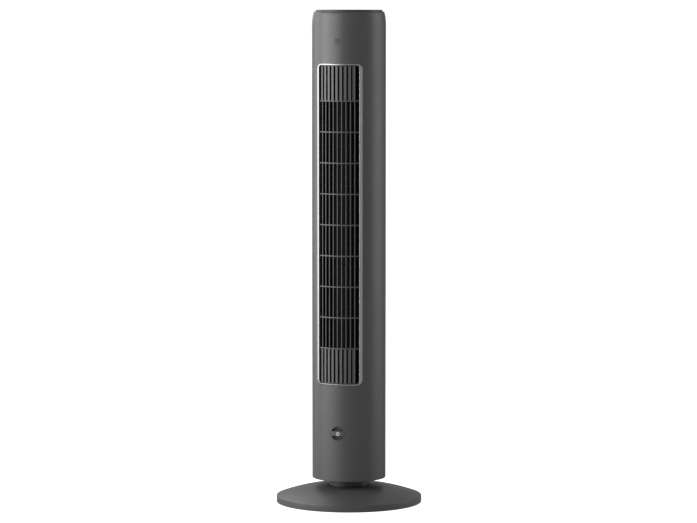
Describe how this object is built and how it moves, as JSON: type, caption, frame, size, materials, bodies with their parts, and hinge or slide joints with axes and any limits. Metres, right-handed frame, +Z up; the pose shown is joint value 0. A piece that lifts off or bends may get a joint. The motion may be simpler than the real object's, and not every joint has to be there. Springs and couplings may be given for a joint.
{
  "type": "tower fan",
  "caption": "Tall round tower fan on a round swivelling base, with a slatted air outlet framed in bright trim, a scent drawer and press keys on top.",
  "frame": {"origin": "centre of the base on the floor", "axes": "+Z up along the tower, -Y towards the air outlet"},
  "size_m": [0.31, 0.31, 1.05],
  "materials": {
    "dark_grey_plastic": "satin, faintly metallic",
    "black_plastic": "matte",
    "glass_filled_nylon": "matte",
    "steel": "drawn and machined",
    "zinc_plated_steel": "zinc plated",
    "silver_trim": "satin plated plastic",
    "black_rubber": "matte",
    "white_acetal": "smooth, slippery",
    "circuit_board": "glass-epoxy laminate",
    "felt": "pressed felt",
    "panel_gloss": "polished",
    "key_plastic": "satin"
  },
  "bodies": {
    "base": {"base_cover": "dark_grey_plastic", "base_plate": "black_plastic", "ballast_ring": "steel", "foot_1": "black_rubber", "foot_2": "black_rubber", "foot_3": "black_rubber", "foot_4": "black_rubber", "foot_5": "black_rubber", "plate_screw_1": "zinc_plated_steel", "plate_screw_2": "zinc_plated_steel", "plate_screw_3": "zinc_plated_steel", "swivel_post": "black_plastic", "post_screw_1": "zinc_plated_steel", "post_screw_2": "zinc_plated_steel", "post_screw_3": "zinc_plated_steel", "slip_ring": "white_acetal", "sector_gear": "white_acetal", "retaining_nut": "zinc_plated_steel"},
    "tower": {"turntable": "black_plastic", "swing_motor": "steel", "swing_screw_left": "zinc_plated_steel", "swing_screw_right": "zinc_plated_steel", "power_board": "circuit_board", "drawer_sleeve": "black_plastic", "motor_deck": "black_plastic", "bearing_deck": "black_plastic", "air_guide": "black_plastic", "stabiliser": "black_plastic", "fan_motor": "steel", "motor_cushion": "black_rubber", "top_bearing": "black_rubber", "front_housing": "dark_grey_plastic", "outlet_trim": "silver_trim", "outlet_grille": "dark_grey_plastic", "sounder": "black_plastic", "rear_housing": "dark_grey_plastic", "intake_grille": "black_plastic", "cord_gland": "black_rubber", "handle_cup": "black_plastic", "top_tray": "black_plastic", "control_board": "circuit_board", "control_panel": "panel_gloss", "housing_screw_high_left": "zinc_plated_steel", "housing_screw_high_right": "zinc_plated_steel", "housing_screw_low_left": "zinc_plated_steel", "housing_screw_low_right": "zinc_plated_steel", "panel_harness": "black_rubber"},
    "wheel": {"fan_wheel": "glass_filled_nylon", "motor_shaft": "steel", "shaft_hub": "black_rubber", "top_pin": "steel"},
    "pinion": {"swing_pinion": "white_acetal", "swing_shaft": "steel"},
    "drawer": {"scent_drawer": "dark_grey_plastic", "scent_pad": "felt"},
    "key_power": {"key_power": "key_plastic"},
    "key_timer": {"key_timer": "key_plastic"},
    "key_speed": {"key_speed": "key_plastic"},
    "key_swing": {"key_swing": "key_plastic"},
    "key_mode": {"key_mode": "key_plastic"}
  },
  "joints": [
    {"name": "tower_swing", "type": "hinge", "parent": "base", "child": "tower", "pos_m": [0, 0, 0.0545], "axis": [0, 0, 1], "range_deg": [-40, 40]},
    {"name": "pinion_spin", "type": "hinge", "parent": "tower", "child": "pinion", "pos_m": [0, 0.04, 0.067], "axis": [0, 0, 1], "range_deg": [-121, 121]},
    {"name": "wheel_spin", "type": "hinge", "parent": "tower", "child": "wheel", "pos_m": [0, 0.008, 0.25], "axis": [0, 0, 1], "continuous": true},
    {"name": "drawer_slide", "type": "slide", "parent": "tower", "child": "drawer", "axis": [0, -1, 0], "range_m": [0, 0.032]},
    {"name": "power_press", "type": "slide", "parent": "tower", "child": "key_power", "axis": [0, 0, -1], "range_m": [0, 0.0008], "stiffness_N_per_m": 600, "springref_m": -0.0004},
    {"name": "timer_press", "type": "slide", "parent": "tower", "child": "key_timer", "axis": [0, 0, -1], "range_m": [0, 0.0008], "stiffness_N_per_m": 600, "springref_m": -0.0004},
    {"name": "speed_press", "type": "slide", "parent": "tower", "child": "key_speed", "axis": [0, 0, -1], "range_m": [0, 0.0008], "stiffness_N_per_m": 600, "springref_m": -0.0004},
    {"name": "swing_press", "type": "slide", "parent": "tower", "child": "key_swing", "axis": [0, 0, -1], "range_m": [0, 0.0008], "stiffness_N_per_m": 600, "springref_m": -0.0004},
    {"name": "mode_press", "type": "slide", "parent": "tower", "child": "key_mode", "axis": [0, 0, -1], "range_m": [0, 0.0008], "stiffness_N_per_m": 600, "springref_m": -0.0004}
  ],
  "couplings": [
    {"joint": "pinion_spin", "follows": "tower_swing", "ratio": 3}
  ]
}
